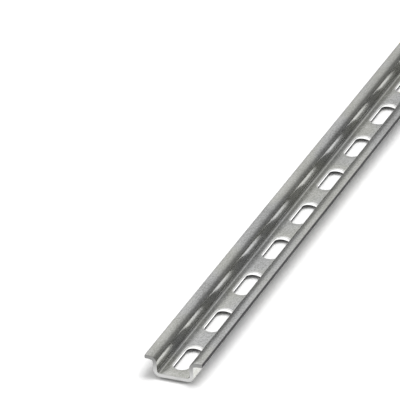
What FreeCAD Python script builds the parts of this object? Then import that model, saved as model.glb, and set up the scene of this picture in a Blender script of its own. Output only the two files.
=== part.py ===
import FreeCAD
import Part
import math
import os

# Perforated miniature top-hat rail, 15 mm wide and 5.5 mm high, cut from one roll-formed steel strip.
# Frame: +X along the rail, +Y across it, +Z up out of the open channel.
# The origin is in the middle of the underside of the channel floor. All lengths are in millimetres.

# Cut length
rail_length = 1000.0

# Hat section
overall_width = 15.0
channel_width = 10.5
rail_height = 5.5
sheet_thickness = 1.0
inner_bend_radius = 0.5
slit_edge_radius = 0.15

# Row of round-ended fixing slots, punched along the middle of the floor
slot_length = 12.2
slot_width = 4.2
slot_pitch = 20.0
first_slot_from_end = 9.5
punch_overrun = 1.0

outer_bend_radius = inner_bend_radius + sheet_thickness
half_channel = channel_width / 2
half_width = overall_width / 2
near_end = -rail_length / 2


def point(y, z):
    """Return the point of the section at this width and height, on the near cut end."""
    return FreeCAD.Vector(near_end, y, z)


def on_circle(centre, radius, degrees):
    """Return the point on a circle of the section, with its angle measured from +Y towards +Z."""
    angle = math.radians(degrees)
    return centre + FreeCAD.Vector(0, radius * math.cos(angle), radius * math.sin(angle))


def straight(start, end):
    """Return one straight edge of the section."""
    return Part.LineSegment(start, end).toShape()


def bend(centre, radius, from_degrees, to_degrees):
    """Return one arc of the section about its bend's centre."""
    middle = (from_degrees + to_degrees) / 2
    angles = (from_degrees, middle, to_degrees)
    return Part.Arc(*[on_circle(centre, radius, degrees) for degrees in angles]).toShape()


def half_section():
    """Return the edges of the +Y half of the hat, from the middle of the underside round to the middle of
    the floor's top. Each bend has one centre for both skins, so the sheet keeps its thickness round it."""
    foot = point(half_channel - outer_bend_radius, outer_bend_radius)
    shoulder = point(half_channel + inner_bend_radius, rail_height - outer_bend_radius)
    tip = half_width - slit_edge_radius
    lower_corner = point(tip, rail_height - sheet_thickness + slit_edge_radius)
    upper_corner = point(tip, rail_height - slit_edge_radius)

    curves = [
        bend(foot, outer_bend_radius, -90, 0),
        bend(shoulder, inner_bend_radius, 180, 90),
        bend(lower_corner, slit_edge_radius, -90, 0),
        bend(upper_corner, slit_edge_radius, 0, 90),
        bend(shoulder, outer_bend_radius, 90, 180),
        bend(foot, inner_bend_radius, 0, -90),
    ]
    edges = []
    reached = point(0, 0)
    for curve in curves:
        edges.append(straight(reached, curve.firstVertex(True).Point))
        edges.append(curve)
        reached = curve.lastVertex(True).Point
    edges.append(straight(reached, point(0, sheet_thickness)))
    return edges


def hat_section():
    """Return the closed face of the whole hat: one half and its mirror image."""
    half = Part.Wire(half_section())
    other_half = half.mirror(FreeCAD.Vector(0, 0, 0), FreeCAD.Vector(0, 1, 0))
    outline = Part.Wire(Part.__sortEdges__(half.Edges + other_half.Edges))
    return Part.Face(outline)


def slot_centres():
    """Return where the slots stand along the rail: whole slots only, clear of both cut ends."""
    usable = rail_length - 2 * first_slot_from_end
    count = int(usable // slot_pitch) + 1
    return [near_end + first_slot_from_end + slot_pitch * index for index in range(count)]


def slot_punch(centre_x):
    """Return the solid that one slot's punch takes out of the floor: a flat bar with round ends."""
    end_radius = slot_width / 2
    reach = slot_length / 2 - end_radius
    bottom = -punch_overrun
    low_right = FreeCAD.Vector(centre_x + reach, -end_radius, bottom)
    high_right = FreeCAD.Vector(centre_x + reach, end_radius, bottom)
    low_left = FreeCAD.Vector(centre_x - reach, -end_radius, bottom)
    high_left = FreeCAD.Vector(centre_x - reach, end_radius, bottom)
    right_end = FreeCAD.Vector(centre_x + slot_length / 2, 0, bottom)
    left_end = FreeCAD.Vector(centre_x - slot_length / 2, 0, bottom)
    outline = Part.Wire([
        straight(low_left, low_right),
        Part.Arc(low_right, right_end, high_right).toShape(),
        straight(high_right, high_left),
        Part.Arc(high_left, left_end, low_left).toShape(),
    ])
    return Part.Face(outline).extrude(FreeCAD.Vector(0, 0, sheet_thickness + 2 * punch_overrun))


def make_rail():
    """Return the finished rail: the hat section drawn out along +X, with its row of slots punched."""
    blank = hat_section().extrude(FreeCAD.Vector(rail_length, 0, 0))
    punches = Part.makeCompound([slot_punch(centre_x) for centre_x in slot_centres()])
    return blank.cut(punches).removeSplitter().Solids[0]


os.makedirs("parts", exist_ok=True)
rail = make_rail()
rail.exportStep("parts/rail.step")
print("rail:", len(slot_centres()), "slots, volume", round(rail.Volume, 1), "mm3, valid", rail.isValid())
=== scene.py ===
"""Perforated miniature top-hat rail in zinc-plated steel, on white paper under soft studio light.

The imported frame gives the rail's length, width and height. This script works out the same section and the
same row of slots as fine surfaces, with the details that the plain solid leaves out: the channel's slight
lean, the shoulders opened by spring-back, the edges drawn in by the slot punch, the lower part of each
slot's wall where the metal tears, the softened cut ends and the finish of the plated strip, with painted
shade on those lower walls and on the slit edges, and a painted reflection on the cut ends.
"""

import logging
import math
from dataclasses import dataclass, field
from enum import Enum
from typing import Any, Union

import bmesh
import bpy
import numpy as np
from mathutils import Matrix, Vector

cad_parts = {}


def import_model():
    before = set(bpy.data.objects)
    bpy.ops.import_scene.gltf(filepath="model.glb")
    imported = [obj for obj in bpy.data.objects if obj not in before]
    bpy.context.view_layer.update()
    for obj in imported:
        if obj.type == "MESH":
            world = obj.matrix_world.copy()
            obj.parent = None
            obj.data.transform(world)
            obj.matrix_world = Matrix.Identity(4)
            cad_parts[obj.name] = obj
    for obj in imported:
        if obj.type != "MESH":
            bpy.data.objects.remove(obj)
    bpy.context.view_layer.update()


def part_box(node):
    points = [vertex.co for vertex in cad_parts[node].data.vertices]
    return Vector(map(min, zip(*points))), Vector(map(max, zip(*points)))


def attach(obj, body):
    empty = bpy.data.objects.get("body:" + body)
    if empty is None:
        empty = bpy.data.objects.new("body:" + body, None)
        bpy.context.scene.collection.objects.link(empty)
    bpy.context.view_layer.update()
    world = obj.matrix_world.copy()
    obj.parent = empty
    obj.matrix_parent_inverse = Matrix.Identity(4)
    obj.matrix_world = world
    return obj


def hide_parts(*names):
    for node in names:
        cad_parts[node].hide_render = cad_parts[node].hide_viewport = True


LOG = logging.getLogger("din_rail")
MM = 0.001
WELD_DISTANCE = 1e-6
ROUNDING_SLACK = 1e-6
QUARTER_TURN = math.pi / 2
CREASE_ANGLE = math.radians(40)


class Regions(Enum):
    """Vertex attributes that tell the finish which parts of the strip were punched or cut, and where it
    paints shade.
    """

    PUNCHED = "punched"
    DRAWN = "drawn"
    TORN_SHADE = "torn_shade"
    CUT_END = "cut_end"
    SLIT_EDGE_SHADE = "slit_edge_shade"


def arc_points(
    centre: tuple[float, float],
    radius: float,
    start: float,
    stop: float,
    steps: int,
) -> np.ndarray:
    """Points on a circle in the section: centre + radius * (cos a, sin a), with a stepping evenly.

    Args:
        centre: the circle's centre as (y, z), in metres.
        radius: its radius, in metres.
        start: first angle in degrees, from +Y towards +Z.
        stop: last angle in degrees.
        steps: how many equal steps the arc has.

    Returns:
        An array of shape (steps + 1, 2).
    """
    angles = np.radians(np.linspace(start, stop, steps + 1))
    return np.stack([centre[0] + radius * np.cos(angles), centre[1] + radius * np.sin(angles)], axis=1)


def between(first: np.ndarray, last: np.ndarray, steps: int) -> np.ndarray:
    """Points strictly between two points: first + t * (last - first) for t in equal steps.

    Args:
        first: the point before the run.
        last: the point after the run.
        steps: how many equal steps the run has.

    Returns:
        An array of shape (steps - 1, 2).
    """
    share = np.linspace(0.0, 1.0, steps + 1)[1:-1, None]
    return first + share * (last - first)


@dataclass(frozen=True)
class HatSection:
    """The roll-formed section: floor, two webs and two flanges of one sheet.

    Lengths are in metres and the spring's angle is in degrees. The floor's underside is at z = 0 and the
    section is the same on both sides of y = 0. The strip springs back a little after forming: each
    shoulder's bend opens out before the flange goes flat.
    """

    width: float
    height: float
    channel_width: float = 10.5 * MM
    sheet: float = 1.0 * MM
    foot_radius: float = 0.72 * MM
    shoulder_radius: float = 0.5 * MM
    spring_angle: float = 18.0
    spring_radius: float = 4.8 * MM
    slit_radius: float = 0.15 * MM
    foot_steps: int = 8
    web_steps: int = 2
    shoulder_steps: int = 8
    spring_steps: int = 3
    flange_steps: int = 2
    corner_steps: int = 3

    @property
    def floor_edge(self) -> float:
        """Half the width of the flat part of the floor."""
        return self.channel_width / 2 - self.sheet - self.foot_radius

    @property
    def foot(self) -> tuple[float, float]:
        """Centre of the bend between floor and web."""
        return self.floor_edge, self.sheet + self.foot_radius

    @property
    def shoulder(self) -> tuple[float, float]:
        """Centre of the tight part of the bend between web and flange.

        The tight part stops short by the spring's angle. Its centre lies on the line from the spring's
        centre to the point where the two parts meet, nearer by the difference of their radii, so its height
        is height - R + (R - r) * cos(angle).
        """
        outer_radius = self.sheet + self.shoulder_radius
        nearer = self.spring_radius - outer_radius
        drop = self.spring_radius - nearer * math.cos(math.radians(self.spring_angle))
        return self.channel_width / 2 + self.shoulder_radius, self.height - drop

    @property
    def spring(self) -> tuple[float, float]:
        """Centre of the open part of that bend, straight under the place where the flange goes flat."""
        outer_radius = self.sheet + self.shoulder_radius
        run = (self.spring_radius - outer_radius) * math.sin(math.radians(self.spring_angle))
        return self.shoulder[0] + run, self.height - self.spring_radius

    def skin(self, upper: bool, inset: float) -> np.ndarray:
        """One skin of the +Y side, from the floor's edge to the middle of the slit edge's corner.

        Bends about fixed centres, joined by straight runs, and then a small corner. The inset draws the
        skin into the metal: a hollow bend's radius grows by it and a proud bend's radius shrinks by it.

        Args:
            upper: True for the channel's side of the sheet, False for its underside.
            inset: how far the skin is drawn into the metal, in metres.

        Returns:
            An array of (y, z) points.
        """
        outward = -inset if upper else inset - self.sheet
        foot_radius = self.foot_radius + inset if upper else self.foot_radius + self.sheet - inset
        shoulder_radius = self.sheet + self.shoulder_radius + outward
        spring_radius = self.spring_radius + outward
        corner_centre = (self.width / 2 - self.slit_radius, self.height - self.slit_radius)
        corner_start = 90
        if not upper:
            corner_centre = (corner_centre[0], self.height - self.sheet + self.slit_radius)
            corner_start = -90
        opening = 90 + self.spring_angle
        foot = arc_points(self.foot, foot_radius, -90, 0, self.foot_steps)
        shoulder = arc_points(self.shoulder, shoulder_radius, 180, opening, self.shoulder_steps)
        spring = arc_points(self.spring, spring_radius, opening, 90, self.spring_steps)
        corner = arc_points(corner_centre, self.slit_radius - inset, corner_start, 0, self.corner_steps)
        web = between(foot[-1], shoulder[0], self.web_steps)
        flange = between(spring[-1], corner[0], self.flange_steps)
        return np.concatenate([foot, web, shoulder, spring[1:], flange, corner])

    def floor_line(self, upper: bool, inset: float, steps: int) -> np.ndarray:
        """Evenly spaced points across the flat floor, from -Y to +Y.

        Args:
            upper: True for the floor's top, False for its underside.
            inset: how far the line is drawn into the metal, in metres.
            steps: how many equal steps it has.

        Returns:
            An array of (y, z) points.
        """
        level = self.sheet - inset if upper else inset
        across = np.linspace(-self.floor_edge, self.floor_edge, steps + 1)
        return np.stack([across, np.full_like(across, level)], axis=1)

    def side_outline(self) -> np.ndarray:
        """The +Y side from the floor's top edge out over the flange and back to the floor's underside."""
        return np.concatenate([self.skin(True, 0.0), self.skin(False, 0.0)[::-1]])

    def across(self, upper: bool, inset: float, floor_steps: int) -> np.ndarray:
        """One whole skin from the -Y slit edge to the +Y slit edge.

        Args:
            upper: which skin.
            inset: how far it is drawn into the metal, in metres.
            floor_steps: steps across the flat floor.

        Returns:
            An array of (y, z) points.
        """
        side = self.skin(upper, inset)
        floor = self.floor_line(upper, inset, floor_steps)[1:-1]
        return np.concatenate([side[::-1] * (-1, 1), floor, side])

    def loop(self, inset: float, floor_steps: int) -> np.ndarray:
        """The closed outline of the section: the upper skin from -Y to +Y, and back along the lower skin."""
        upper = self.across(True, inset, floor_steps)
        lower = self.across(False, inset, floor_steps)
        return np.concatenate([upper, lower[::-1]])


@dataclass(frozen=True)
class SlotRow:
    """The row of round-ended slots along the middle of the floor, in metres."""

    length: float = 12.2 * MM
    width: float = 4.2 * MM
    pitch: float = 20.0 * MM
    first_from_end: float = 9.5 * MM
    eighth_steps: int = 4
    straight_steps: int = 4

    @property
    def long_steps(self) -> int:
        """Steps of the outline that face a long side of the slot's panel."""
        return self.straight_steps + 2 * self.eighth_steps

    @property
    def short_steps(self) -> int:
        """Steps of the outline that face a short side of the slot's panel."""
        return 2 * self.eighth_steps

    def centres(self, rail_length: float) -> np.ndarray:
        """Centres along X of the whole slots that fit between the cut ends.

        Args:
            rail_length: the cut length, in metres.

        Returns:
            An array of x values, for a rail whose middle is at x = 0.
        """
        usable = rail_length - 2 * self.first_from_end
        count = int(usable / self.pitch + ROUNDING_SLACK) + 1
        return -rail_length / 2 + self.first_from_end + self.pitch * np.arange(count)

    def outline(self, offset: float) -> np.ndarray:
        """The slot's outline about its own centre, moved outwards by an offset.

        Two half circles about fixed centres, joined by straight runs. The points start on the circle at the
        -X end, an eighth of a turn before its lowest point, and go round counter-clockwise, so that they
        face the points of the panel's rectangle one to one.

        Args:
            offset: how far outside the nominal outline, in metres.

        Returns:
            An array of (x, y) points, one for each step round the slot.
        """
        radius = self.width / 2 + offset
        reach = self.length / 2 - self.width / 2
        eighth = self.eighth_steps
        left_tail = arc_points((-reach, 0.0), radius, 225, 270, eighth)
        right = arc_points((reach, 0.0), radius, -90, 90, 4 * eighth)
        left_head = arc_points((-reach, 0.0), radius, 90, 225, 3 * eighth)
        lower_run = between(left_tail[-1], right[0], self.straight_steps)
        upper_run = between(right[-1], left_head[0], self.straight_steps)
        return np.concatenate([left_tail, lower_run, right, upper_run, left_head[:-1]])


class Surface:
    """Collects grids of points as quads and makes one welded mesh of them."""

    def __init__(self) -> None:
        """Start with no points."""
        self.points: list[np.ndarray] = []
        self.quads: list[np.ndarray] = []
        self.count = 0

    def add(self, grid: np.ndarray, wrap: bool = False, flip: bool = False) -> None:
        """Add one grid, or a stack of like grids.

        Every cell of the grid, between rows r and r + 1 and columns c and c + 1, becomes one quad.

        Args:
            grid: points of shape (rows, columns, 3) or (copies, rows, columns, 3).
            wrap: True where the last column joins the first.
            flip: True to turn the quads' faces over.
        """
        stack = grid if grid.ndim == 4 else grid[None]
        copies, rows, columns = stack.shape[:3]
        index = np.arange(copies * rows * columns).reshape(copies, rows, columns) + self.count
        here = index if wrap else index[:, :, :-1]
        there = np.roll(index, -1, axis=2) if wrap else index[:, :, 1:]
        quads = np.stack([here[:, :-1], there[:, :-1], there[:, 1:], here[:, 1:]], axis=-1).reshape(-1, 4)
        self.points.append(stack.reshape(-1, 3))
        self.quads.append(quads[:, ::-1] if flip else quads)
        self.count += copies * rows * columns

    def mesh(self, name: str) -> bpy.types.Mesh:
        """Make the mesh: all grids together, with the points that meet welded into one.

        Args:
            name: the mesh's name.

        Returns:
            The new mesh.
        """
        points = np.concatenate(self.points)
        quads = np.concatenate(self.quads)
        mesh = bpy.data.meshes.new(name)
        mesh.vertices.add(len(points))
        mesh.vertices.foreach_set("co", points.astype(np.float32).ravel())
        mesh.loops.add(quads.size)
        mesh.loops.foreach_set("vertex_index", quads.astype(np.int32).ravel())
        mesh.polygons.add(len(quads))
        mesh.polygons.foreach_set("loop_start", np.arange(0, quads.size, 4, dtype=np.int32))
        mesh.update(calc_edges=True)
        shell = bmesh.new()
        shell.from_mesh(mesh)
        bmesh.ops.remove_doubles(shell, verts=shell.verts, dist=WELD_DISTANCE)
        bmesh.ops.recalc_face_normals(shell, faces=shell.faces)
        shell.to_mesh(mesh)
        shell.free()
        return mesh


Colour = tuple[float, float, float, float]


@dataclass(frozen=True)
class Mottle:
    """One noise pattern of the strip.

    It has so many lumps in a metre along each axis, and octaves of finer noise as its detail. Its strength
    is how far it makes the metal paler and darker.
    """

    per_metre: tuple[float, float, float]
    detail: float
    strength: float


Value = Union["Signal", float]


class Signal:
    """One output of a shader node, on which Python's operators add Math nodes."""

    def __init__(self, graph: "Graph", socket: bpy.types.NodeSocket) -> None:
        """Keep the socket and the graph that it is in."""
        self.graph = graph
        self.socket = socket

    def _math(self, operation: str, first: Value, second: Value) -> "Signal":
        """Add one Math node on two values."""
        return self.graph.node("ShaderNodeMath", {"operation": operation}, {0: first, 1: second})

    def __add__(self, other: Value) -> "Signal":
        """Sum."""
        return self._math("ADD", self, other)

    def __radd__(self, other: Value) -> "Signal":
        """Sum, with a number on the left."""
        return self._math("ADD", other, self)

    def __sub__(self, other: Value) -> "Signal":
        """Difference."""
        return self._math("SUBTRACT", self, other)

    def __rsub__(self, other: Value) -> "Signal":
        """Difference, with a number on the left."""
        return self._math("SUBTRACT", other, self)

    def __mul__(self, other: Value) -> "Signal":
        """Product."""
        return self._math("MULTIPLY", self, other)

    def above(self, other: Value) -> "Signal":
        """The larger of the two."""
        return self._math("MAXIMUM", self, other)

    def ramp(self, low: float, high: float, start: float = 0.0, stop: float = 1.0) -> "Signal":
        """Smooth step: start below low, stop above high, and an S-shaped rise between.

        Args:
            low: the value where the step begins.
            high: the value where it ends.
            start: the result at low.
            stop: the result at high.

        Returns:
            The stepped signal.
        """
        settings = {"interpolation_type": "SMOOTHSTEP"}
        return self.graph.node("ShaderNodeMapRange", settings, {0: self, 1: low, 2: high, 3: start, 4: stop})


class Graph:
    """The node tree of a material or of the world."""

    def __init__(self, tree: bpy.types.NodeTree) -> None:
        """Empty the tree, so that it holds only what this script adds."""
        tree.nodes.clear()
        self.tree = tree

    def node(
        self,
        kind: str,
        settings: Union[dict[str, Any], None] = None,
        inputs: Union[dict[Union[str, int], Any], None] = None,
        output: Union[str, int] = 0,
    ) -> Signal:
        """Add one node.

        Args:
            kind: the node's type.
            settings: its settings, which are set before its sockets.
            inputs: values or signals by socket name or number.
            output: which of its outputs is wanted.

        Returns:
            That output.
        """
        added = self.tree.nodes.new(kind)
        for name, value in (settings or {}).items():
            setattr(added, name, value)
        for key, value in (inputs or {}).items():
            if isinstance(value, Signal):
                self.tree.links.new(value.socket, added.inputs[key])
            else:
                added.inputs[key].default_value = value
        return Signal(self, added.outputs[output] if added.outputs else None)

    def blend(self, share: Value, first: Any, second: Any) -> Signal:
        """Colour between two colours.

        Args:
            share: 0 for the first colour, 1 for the second.
            first: a colour or a signal.
            second: a colour or a signal.

        Returns:
            The mixed colour.
        """
        return self.node("ShaderNodeMix", {"data_type": "RGBA"}, {0: share, 6: first, 7: second}, output=2)

    def scaled(self, vector: Signal, factors: tuple[float, float, float]) -> Signal:
        """A vector times three factors, one for each axis."""
        return self.node("ShaderNodeVectorMath", {"operation": "MULTIPLY"}, {0: vector, 1: factors})

    def noise(self, vector: Signal, mottle: Mottle) -> Signal:
        """Smooth noise between 0 and 1.

        Args:
            vector: the coordinates, in metres.
            mottle: how fine the noise is.

        Returns:
            The noise.
        """
        place = self.scaled(vector, mottle.per_metre)
        return self.node("ShaderNodeTexNoise", {}, {"Vector": place, "Scale": 1.0, "Detail": mottle.detail})

    def ray(self, question: str) -> Signal:
        """What kind of ray meets the surface: one output of Light Path."""
        return self.node("ShaderNodeLightPath", output=question)

    def mirrored(self) -> Signal:
        """1 for a ray that the camera follows in metal or glass, and 0 once it has met something dull.

        A surface seen so shows its picture brightness. After a dull bounce it gives only its plain light.
        """
        clear = (1.0 - self.ray("Diffuse Depth")).above(0.0)
        return self.ray("Is Glossy Ray").above(self.ray("Is Transmission Ray")) * clear

    def attribute(self, region: Regions) -> Signal:
        """A vertex attribute as a value."""
        return self.node("ShaderNodeAttribute", {"attribute_name": region.value}, {}, output="Fac")


@dataclass(frozen=True)
class PlatedSteel:
    """Zinc-plated cold-rolled strip, with bare steel where it was punched, slit or cut off, and painted
    shade, nearly black, on the slit edges and on the lower walls of the slots.

    Long faint rolling lines run along the rail, over a fine grain. Broad clouds vary between a cool grey
    and a faint olive, as a thin passivated zinc coat does. The cut ends are paler at the floor and darker up
    towards the flanges: a painted reflection that fades with height.
    """

    name: str = "zinc_plated_steel"
    cool: Colour = (0.555, 0.56, 0.56, 1.0)
    olive: Colour = (0.505, 0.508, 0.472, 1.0)
    bare: Colour = (0.96, 0.96, 0.95, 1.0)
    sawn: Colour = (0.22, 0.22, 0.217, 1.0)
    cut_reflection: Colour = (0.48, 0.48, 0.475, 1.0)
    rough_edge_shade: Colour = (0.03, 0.03, 0.033, 1.0)
    palest: Colour = (0.70, 0.70, 0.68, 1.0)
    darkest: Colour = (0.30, 0.30, 0.29, 1.0)
    rolling: Mottle = Mottle((22.0, 2100.0, 2100.0), detail=4.0, strength=0.30)
    grain: Mottle = Mottle((1500.0, 2600.0, 2600.0), detail=2.0, strength=2.0)
    patches: Mottle = Mottle((120.0, 260.0, 260.0), detail=3.0, strength=0.9)
    clouds: Mottle = Mottle((45.0, 90.0, 90.0), detail=2.0, strength=1.9)
    cloud_edge: tuple[float, float] = (0.40, 0.60)
    reflection_heights: tuple[float, float] = (1.0 * MM, 5.0 * MM)
    reflection_spread: float = 0.8
    dullness: float = 0.2
    roughness: float = 0.23
    rolling_roughness: float = 0.12
    grain_roughness: float = 0.10
    cut_roughness: float = 0.12
    torn_roughness: float = 0.35
    rolling_relief: float = 0.6
    grain_relief: float = 0.4
    bump: float = 0.15
    bump_height: float = 0.02 * MM

    def build(self) -> bpy.types.Material:
        """Make the material.

        Returns:
            The material, whose patterns read Object coordinates.
        """
        material = bpy.data.materials.new(self.name)
        material.use_nodes = True
        graph = Graph(material.node_tree)
        place = graph.node("ShaderNodeTexCoord", output="Object")
        height = graph.node("ShaderNodeSeparateXYZ", {}, {0: place}, output="Z")
        rolling = graph.noise(place, self.rolling)
        grain = graph.noise(place, self.grain)
        patches = graph.noise(place, self.patches)
        clouds = graph.noise(place, self.clouds)

        punched = graph.attribute(Regions.PUNCHED)
        drawn = graph.attribute(Regions.DRAWN)
        torn_shade = graph.attribute(Regions.TORN_SHADE)
        cut_end = graph.attribute(Regions.CUT_END)
        slit_edge_shade = graph.attribute(Regions.SLIT_EDGE_SHADE)

        tint = graph.blend(clouds.ramp(*self.cloud_edge), self.cool, self.olive)
        shade = (rolling - 0.5) * self.rolling.strength + (grain - 0.5) * self.grain.strength
        shade = shade + (patches - 0.5) * self.patches.strength + (clouds - 0.5) * self.clouds.strength
        worked = graph.blend(shade.above(0.0), tint, self.palest)
        worked = graph.blend((0.0 - shade).above(0.0), worked, self.darkest)
        worked = graph.blend(punched, worked, self.bare)
        # Painted reflection: the cut ends are paler near the floor and darker up towards the flanges.
        reflection_share = height.ramp(*self.reflection_heights, start=1.0, stop=0.0) + (patches - 0.5) * self.reflection_spread
        cut = graph.blend(reflection_share, self.sawn, self.cut_reflection)
        worked = graph.blend(cut_end, worked, cut)
        # Painted shade: the slit edges and the lower, tearing parts of the slots' walls are made nearly
        # black.
        colour = graph.blend(slit_edge_shade.above(torn_shade), worked, self.rough_edge_shade)

        roughness = self.roughness + (rolling - 0.5) * self.rolling_roughness
        roughness = roughness + (grain - 0.5) * self.grain_roughness
        roughness = roughness + punched.above(cut_end) * self.cut_roughness
        roughness = roughness + slit_edge_shade.above(torn_shade) * self.torn_roughness
        metallic = 1.0 - drawn * self.dullness
        relief = rolling * self.rolling_relief + grain * self.grain_relief
        normal = graph.node(
            "ShaderNodeBump",
            {},
            {"Strength": self.bump, "Distance": self.bump_height, "Height": relief},
        )
        shader = graph.node(
            "ShaderNodeBsdfPrincipled",
            {},
            {"Base Color": colour, "Metallic": metallic, "Roughness": roughness, "Normal": normal},
        )
        graph.node("ShaderNodeOutputMaterial", {}, {"Surface": shader})
        return material


@dataclass(frozen=True)
class Rail:
    """The rail itself: floor panels with their slots, the formed sides and the cut ends.

    Each slot was punched from above. Its edge is drawn in over a short way. Then its wall is smooth to the
    sheared depth, and below that the metal tears and breaks out a little; that lower part is painted nearly
    black as shade.
    """

    section: HatSection
    slots: SlotRow
    length: float
    finish: PlatedSteel = field(default_factory=PlatedSteel)
    end_round: float = 0.08 * MM
    end_steps: int = 3
    punch_draw: float = 0.34 * MM
    draw_depth: float = 0.13 * MM
    draw_steps: int = 4
    wall_start: float = 0.02 * MM
    sheared_depth: float = 0.86 * MM
    sheared_slant: float = 0.30 * MM
    least_tear: float = 0.08 * MM
    break_out: float = 0.02 * MM
    tear_start: float = 0.02 * MM
    rim: float = 0.05 * MM
    weight_rise: float = 2.5
    lean: float = 0.22 * MM
    lean_run: float = 0.80 * MM

    def panel_ends(self) -> np.ndarray:
        """Where the slots' panels meet, half way between slots, with the softened cut ends left free."""
        middles = self.slots.centres(self.length)[:-1] + self.slots.pitch / 2
        half = self.length / 2 - self.end_round
        return np.concatenate([[-half], middles, [half]])

    def panel_frames(self) -> np.ndarray:
        """Points round each panel's rectangle, facing the slot's outline one to one.

        Each side is divided evenly: first the -Y side towards +X, then on round counter-clockwise.

        Returns:
            An array of shape (panels, points, 2).
        """
        ends = self.panel_ends()
        left, right = ends[:-1, None], ends[1:, None]
        edge = self.section.floor_edge
        along = np.linspace(0.0, 1.0, self.slots.long_steps + 1)[None, :-1]
        up = np.linspace(-edge, edge, self.slots.short_steps + 1)[None, :-1]
        level = np.full_like(left * along, edge)
        upright = np.ones_like(left * up)
        x = np.concatenate([
            left + along * (right - left),
            right * upright,
            right - along * (right - left),
            left * upright,
        ], axis=1)
        y = np.concatenate([-level, up * upright, level, -up * upright], axis=1)
        return np.stack([x, y], axis=2)

    def sheared(self, y: np.ndarray) -> np.ndarray:
        """How deep the smooth part of a slot's wall goes: depth - slant * y / half width.

        That part is deeper on the -Y side, so the painted shade below it is wider on the +Y side. It always
        stops short of the underside by the least tear.

        Args:
            y: places across the rail, in metres.

        Returns:
            Depths below the floor's top, in metres.
        """
        slanted = self.sheared_depth - self.sheared_slant * y / (self.slots.width / 2)
        return np.minimum(slanted, self.section.sheet - self.least_tear)

    def panels(self) -> np.ndarray:
        """All the floor's panels: bands from their rectangles to the slots, down the walls and back.

        The rows are rings. On the top they go from the rectangle to the slot's outline, where the punch
        draws the edge in as a quarter of an ellipse. A ring just below it keeps the wall's shading upright.
        Below the smooth sheared part of the wall the metal tears, so the slot widens a little to the
        underside. There a narrow rim keeps the lower wall's painted shade off the underside, and the last
        rings go back to the rectangle.

        Returns:
            Points of shape (panels, rings, points, 3).
        """
        sheet = self.section.sheet
        turn = np.linspace(0.0, QUARTER_TURN, self.draw_steps + 1)
        torn_from = sheet - self.sheared(self.slots.outline(0.0)[:, 1])[None]
        lower = [0.0, 0.0, self.tear_start, self.break_out, self.break_out + self.rim]
        offsets = np.concatenate([self.punch_draw * (1 - np.sin(turn)), lower])
        drawn = sheet - self.draw_depth * (1 - np.cos(turn))[:, None] * np.ones_like(torn_from)
        wall_top = drawn[-1:] - self.wall_start
        under = np.zeros_like(torn_from)
        levels = np.concatenate([drawn, wall_top, torn_from, torn_from - self.tear_start, under, under])
        frames = self.panel_frames()
        centres = self.slots.centres(self.length)
        outlines = np.stack([self.slots.outline(offset) for offset in offsets])
        rings = np.repeat(outlines[None], len(centres), axis=0)
        rings[..., 0] += centres[:, None, None]
        heights = np.broadcast_to(levels[None, :, :, None], rings.shape[:3] + (1,))
        wall = np.concatenate([rings, heights], axis=3)
        top = np.concatenate([frames, np.full(frames.shape[:2] + (1,), sheet)], axis=2)[:, None]
        bottom = np.concatenate([frames, np.zeros(frames.shape[:2] + (1,))], axis=2)[:, None]
        top_half = (top + wall[:, :1]) / 2
        bottom_half = (bottom + wall[:, -1:]) / 2
        return np.concatenate([top, top_half, wall, bottom_half, bottom], axis=1)

    def stations(self) -> np.ndarray:
        """The x values along the formed sides, the same as along the panels' long sides."""
        ends = self.panel_ends()
        share = np.linspace(0.0, 1.0, self.slots.long_steps + 1)[:-1]
        inner = ends[:-1, None] + share[None] * np.diff(ends)[:, None]
        return np.append(inner.ravel(), ends[-1])

    def side(self, mirrored: bool) -> np.ndarray:
        """One formed side: its outline carried straight along the stations.

        Args:
            mirrored: True for the -Y side.

        Returns:
            Points of shape (outline, stations, 3).
        """
        outline = self.section.side_outline()
        stations = self.stations()
        grid = np.empty((len(outline), len(stations), 3))
        grid[..., 0] = stations[None]
        grid[..., 1] = outline[:, :1] * (-1 if mirrored else 1)
        grid[..., 2] = outline[:, 1:]
        return grid

    def leaning(self, points: np.ndarray) -> np.ndarray:
        """Lean the channel a little to the +Y side, as the rolls left it: y + lean * rise * hold.

        The rise grows from 0 at the floor's top to 1 at the flanges' undersides. The hold is 1 as far as the
        shoulders and falls to 0 at the slit edges, which stay in place.

        Args:
            points: places on the upright section, of any shape that ends in 3.

        Returns:
            The leaning places, in the same shape.
        """
        section = self.section
        rise = np.clip((points[..., 2] - section.sheet) / (section.height - 2 * section.sheet), 0, 1)
        slit_start = section.width / 2 - section.slit_radius
        hold = np.clip((slit_start - np.abs(points[..., 1])) / self.lean_run, 0, 1)
        moved = points.copy()
        moved[..., 1] += self.lean * rise * hold
        return moved

    def end_rings(self, direction: int) -> np.ndarray:
        """The softened edge of one cut end: a quarter circle from the skins to the face.

        Args:
            direction: -1 for the near end, 1 for the far end.

        Returns:
            Points of shape (rings, outline, 3).
        """
        rings = []
        for turn in np.linspace(0.0, QUARTER_TURN, self.end_steps + 1):
            loop = self.section.loop(self.end_round * (1 - math.cos(turn)), self.slots.short_steps)
            x = direction * (self.length / 2 - self.end_round * (1 - math.sin(turn)))
            rings.append(np.column_stack([np.full(len(loop), x), loop]))
        return np.stack(rings)

    def end_face(self, direction: int) -> np.ndarray:
        """The flat cut face: quads straight across the sheet, between the two skins.

        Args:
            direction: -1 for the near end, 1 for the far end.

        Returns:
            Points of shape (2, outline, 3).
        """
        steps = self.slots.short_steps
        skins = [self.section.across(upper, self.end_round, steps) for upper in (True, False)]
        x = direction * self.length / 2
        return np.stack([np.column_stack([np.full(len(skin), x), skin]) for skin in skins])

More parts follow.
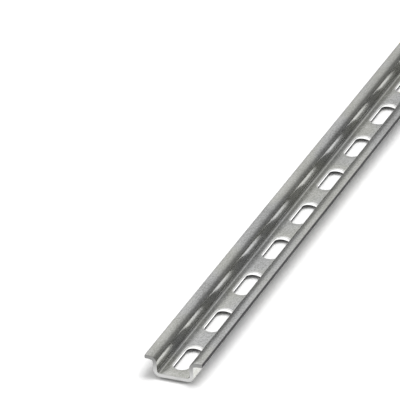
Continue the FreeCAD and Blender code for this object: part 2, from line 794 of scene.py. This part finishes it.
    def region_weights(self, points: np.ndarray) -> dict[Regions, np.ndarray]:
        """How far each vertex belongs to a punched wall, a cut end or a slit edge.

        A point is on a punched wall where its distance from the slot's middle line is less than half the
        slot's width plus the break-out and half the rim. The middle line runs between the centres of the
        slot's round ends. On the top the weight starts softly over the drawn-in edge: it is the share of
        the way to the wall times the rise, and 1 at most. The drawn-in edge's own weight fades in the same
        way down to the wall. The tearing part's weight grows from 0 to 1 over the start of the tear, and the
        slit edge's grows as the square of the way round its corner. These two weights place painted shade.

        Args:
            points: vertex places of shape (vertices, 3).

        Returns:
            Weights from 0 to 1 by region.
        """
        centres = self.slots.centres(self.length)
        nearest = np.abs(points[:, :1] - centres[None]).min(axis=1)
        reach = (self.slots.length - self.slots.width) / 2
        from_line = np.hypot(np.maximum(nearest - reach, 0.0), points[:, 1])
        outside = from_line - self.slots.width / 2
        upper = points[:, 2] > self.section.sheet / 2
        on_wall = outside < self.break_out + self.rim / 2
        reached = np.clip(self.weight_rise * (1 - outside / self.punch_draw), 0, 1)
        punched = np.where(upper | on_wall, reached, 0)
        bent = (self.section.sheet - points[:, 2]) / self.draw_depth
        drawn = punched * np.clip(self.weight_rise * (1 - bent), 0, 1)
        # Where the smooth wall stops, the painted shade of the tearing part begins.
        depth = self.section.sheet - self.sheared(points[:, 1]) - points[:, 2]
        torn_shade = punched * np.clip(depth / self.tear_start, 0, 1)
        past = np.abs(points[:, 0]) - (self.length / 2 - self.end_round)
        cut_end = np.clip(past / self.end_round, 0, 1)
        # The slit edges are bare steel, painted nearly black as shade.
        corner = np.abs(points[:, 1]) - (self.section.width / 2 - self.section.slit_radius)
        slit_edge_shade = np.clip(corner / self.section.slit_radius, 0, 1) ** 2 * (1 - cut_end)
        return {
            Regions.PUNCHED: punched,
            Regions.DRAWN: drawn,
            Regions.TORN_SHADE: torn_shade,
            Regions.CUT_END: cut_end,
            Regions.SLIT_EDGE_SHADE: slit_edge_shade,
        }

    def build(self) -> bpy.types.Object:
        """Make the rail's object, dress it and fit it to the frame.

        Returns:
            The new object, which stands for the frame's node.
        """
        surface = Surface()
        surface.add(self.panels(), wrap=True)
        surface.add(self.leaning(self.side(mirrored=False)))
        surface.add(self.leaning(self.side(mirrored=True)), flip=True)
        for direction in (-1, 1):
            surface.add(self.leaning(self.end_rings(direction)), wrap=True, flip=direction < 0)
            surface.add(self.leaning(self.end_face(direction)), flip=direction > 0)
        mesh = surface.mesh("plated_rail")
        points = np.empty(len(mesh.vertices) * 3)
        mesh.vertices.foreach_get("co", points)
        for region, weights in self.region_weights(points.reshape(-1, 3)).items():
            layer = mesh.attributes.new(region.value, "FLOAT", "POINT")
            layer.data.foreach_set("value", weights.astype(np.float32))
        mesh.shade_smooth()
        mesh.set_sharp_from_angle(angle=CREASE_ANGLE)
        mesh.materials.append(self.finish.build())
        rail = bpy.data.objects.new("plated_rail", mesh)
        bpy.context.scene.collection.objects.link(rail)
        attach(rail, "root")
        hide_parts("rail")
        return rail


@dataclass(frozen=True)
class Lamp:
    """A broad soft lamp far away. Angles are in degrees: azimuth from +X to +Y, elevation from the paper.

    Its share is how much of the paper's full light comes from it.
    """

    name: str
    azimuth: float
    elevation: float
    softness: float
    share: float
    distance: float = 2.0

    def build(self) -> bpy.types.Object:
        """Make the lamp.

        Light that falls at a slant spreads over more paper, so its strength makes up for that.

        Returns:
            The lamp's object, which metal doesn't mirror.
        """
        elevation = math.radians(self.elevation)
        azimuth = math.radians(self.azimuth)
        data = bpy.data.lights.new(self.name, "SUN")
        data.energy = self.share * math.pi / math.sin(elevation)
        data.angle = math.radians(self.softness)
        lamp = bpy.data.objects.new(self.name, data)
        flat = math.cos(elevation)
        source = Vector((flat * math.cos(azimuth), flat * math.sin(azimuth), math.sin(elevation)))
        lamp.rotation_euler = source.to_track_quat("Z", "Y").to_euler()
        lamp.location = source * self.distance
        lamp.visible_glossy = False
        bpy.context.scene.collection.objects.link(lamp)
        return lamp


@dataclass(frozen=True)
class Studio:
    """White paper, two soft lamps, and walls that are pale above and dim near the floor.

    The wall heights are sines of the elevation at which the pale part begins and is full. The wall sides
    are the Y parts of the directions between which the room brightens from its dim right side to its pale
    left side. The evenness is the part of the paper's mirror picture that shows no shadows.
    """

    paper_half_width: float = 3.0
    paper_gap: float = 0.7 * MM
    paper_colour: Colour = (0.60, 0.60, 0.60, 1.0)
    paper_mirrored: Colour = (1.5, 1.5, 1.5, 1.0)
    mirrored_evenness: float = 0.6
    paper_seen: Colour = (1.28, 1.28, 1.28, 1.0)
    ambient: float = 0.52
    lamps: tuple[Lamp, ...] = (
        Lamp("key_lamp", azimuth=-40.0, elevation=71.0, softness=36.0, share=0.42),
        Lamp("fill_lamp", azimuth=-100.0, elevation=42.0, softness=40.0, share=0.06),
    )
    bright_wall: float = 0.97
    dim_wall: float = 0.24
    wall_heights: tuple[float, float] = (0.31, 0.46)
    wall_sides: tuple[float, float] = (-0.66, 0.46)

    def paper(self) -> bpy.types.Object:
        """The sheet of paper, a small gap below the rail, which softens the rail's shadows.

        The camera sees the paper brighter than it lights the rail. Metal mirrors it so too, with fainter
        shadows.

        Returns:
            The paper's object.
        """
        half = self.paper_half_width
        level = -self.paper_gap
        mesh = bpy.data.meshes.new("paper")
        corners = [(-half, -half, level), (half, -half, level), (half, half, level), (-half, half, level)]
        mesh.from_pydata(corners, [], [(0, 1, 2, 3)])
        material = bpy.data.materials.new("white_paper")
        material.use_nodes = True
        graph = Graph(material.node_tree)
        mirrored = graph.mirrored()
        colour = graph.blend(mirrored, self.paper_colour, self.paper_mirrored)
        colour = graph.blend(graph.ray("Is Camera Ray"), colour, self.paper_seen)
        lit = graph.node("ShaderNodeBsdfDiffuse", {}, {"Color": colour})
        even = graph.node("ShaderNodeEmission", {}, {"Color": self.paper_mirrored, "Strength": 1.0})
        share = mirrored * self.mirrored_evenness
        shader = graph.node("ShaderNodeMixShader", {}, {0: share, 1: lit, 2: even})
        graph.node("ShaderNodeOutputMaterial", {}, {"Surface": shader})
        mesh.materials.append(material)
        paper = bpy.data.objects.new("paper", mesh)
        bpy.context.scene.collection.objects.link(paper)
        return paper

    def walls(self) -> None:
        """The world: white to the camera, and an even pale light on what is dull.

        To metal it is a room that is dim near the floor and on its right side. The room's brightness is the
        product of one smooth step up the wall and one across the room.
        """
        world = bpy.data.worlds.new("studio_walls")
        world.use_nodes = True
        bpy.context.scene.world = world
        graph = Graph(world.node_tree)
        seen = graph.ray("Is Camera Ray").above(graph.ray("Is Transmission Ray"))
        mirrored = graph.mirrored()
        direction = graph.node("ShaderNodeTexCoord", output="Generated")
        side = graph.node("ShaderNodeSeparateXYZ", {}, {0: direction}, output="Y")
        height = graph.node("ShaderNodeSeparateXYZ", {}, {0: direction}, output="Z")
        pale = height.ramp(*self.wall_heights) * side.ramp(*self.wall_sides)
        room = pale * (self.bright_wall - self.dim_wall) + self.dim_wall
        lighting = mirrored * room + (1.0 - mirrored) * self.ambient
        strength = seen + (1.0 - seen) * lighting
        white = (1.0, 1.0, 1.0, 1.0)
        shader = graph.node("ShaderNodeBackground", {}, {"Color": white, "Strength": strength})
        graph.node("ShaderNodeOutputWorld", {}, {"Surface": shader})

    def build(self) -> None:
        """Set up paper, walls and lamps."""
        self.paper()
        self.walls()
        for lamp in self.lamps:
            lamp.build()
        bpy.context.scene.view_settings.view_transform = "Standard"


@dataclass(frozen=True)
class PhotoCamera:
    """The photograph's camera: high above the near end, to the right of the rail, with a long lens."""

    location: tuple[float, float, float] = (-1.4522, -0.3970, 0.5887)
    aim: tuple[float, float, float] = (-0.41103, 0.02851, 0.0)
    roll: float = 1.194
    lens: float = 442.7
    sensor: float = 36.0
    clip_start: float = 0.05
    clip_end: float = 50.0

    def build(self) -> bpy.types.Object:
        """Make the camera and use it for the scene.

        It looks from its place to its aim with its top up, and is then rolled about its view.

        Returns:
            The camera's object.
        """
        data = bpy.data.cameras.new("photo_camera")
        data.lens = self.lens
        data.sensor_width = self.sensor
        data.clip_start = self.clip_start
        data.clip_end = self.clip_end
        data.dof.use_dof = False
        camera = bpy.data.objects.new("photo_camera", data)
        place = Vector(self.location)
        towards = Vector(self.aim) - place
        level = towards.to_track_quat("-Z", "Y").to_matrix().to_4x4()
        rolled = level @ Matrix.Rotation(math.radians(-self.roll), 4, "Z")
        camera.matrix_world = Matrix.Translation(place) @ rolled
        bpy.context.scene.collection.objects.link(camera)
        bpy.context.scene.camera = camera
        return camera


def main() -> None:
    """Load the frame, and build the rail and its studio."""
    logging.basicConfig(level=logging.INFO, format="%(name)s: %(message)s")
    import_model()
    low, high = (np.array(corner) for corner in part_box("rail"))
    length, width, height = (float(value) for value in high - low)

    PhotoCamera().build()
    Studio().build()
    rail = Rail(section=HatSection(width=width, height=height), slots=SlotRow(), length=length).build()
    LOG.info("%s: %d faces", rail.name, len(rail.data.polygons))


if __name__ == "__main__":
    main()
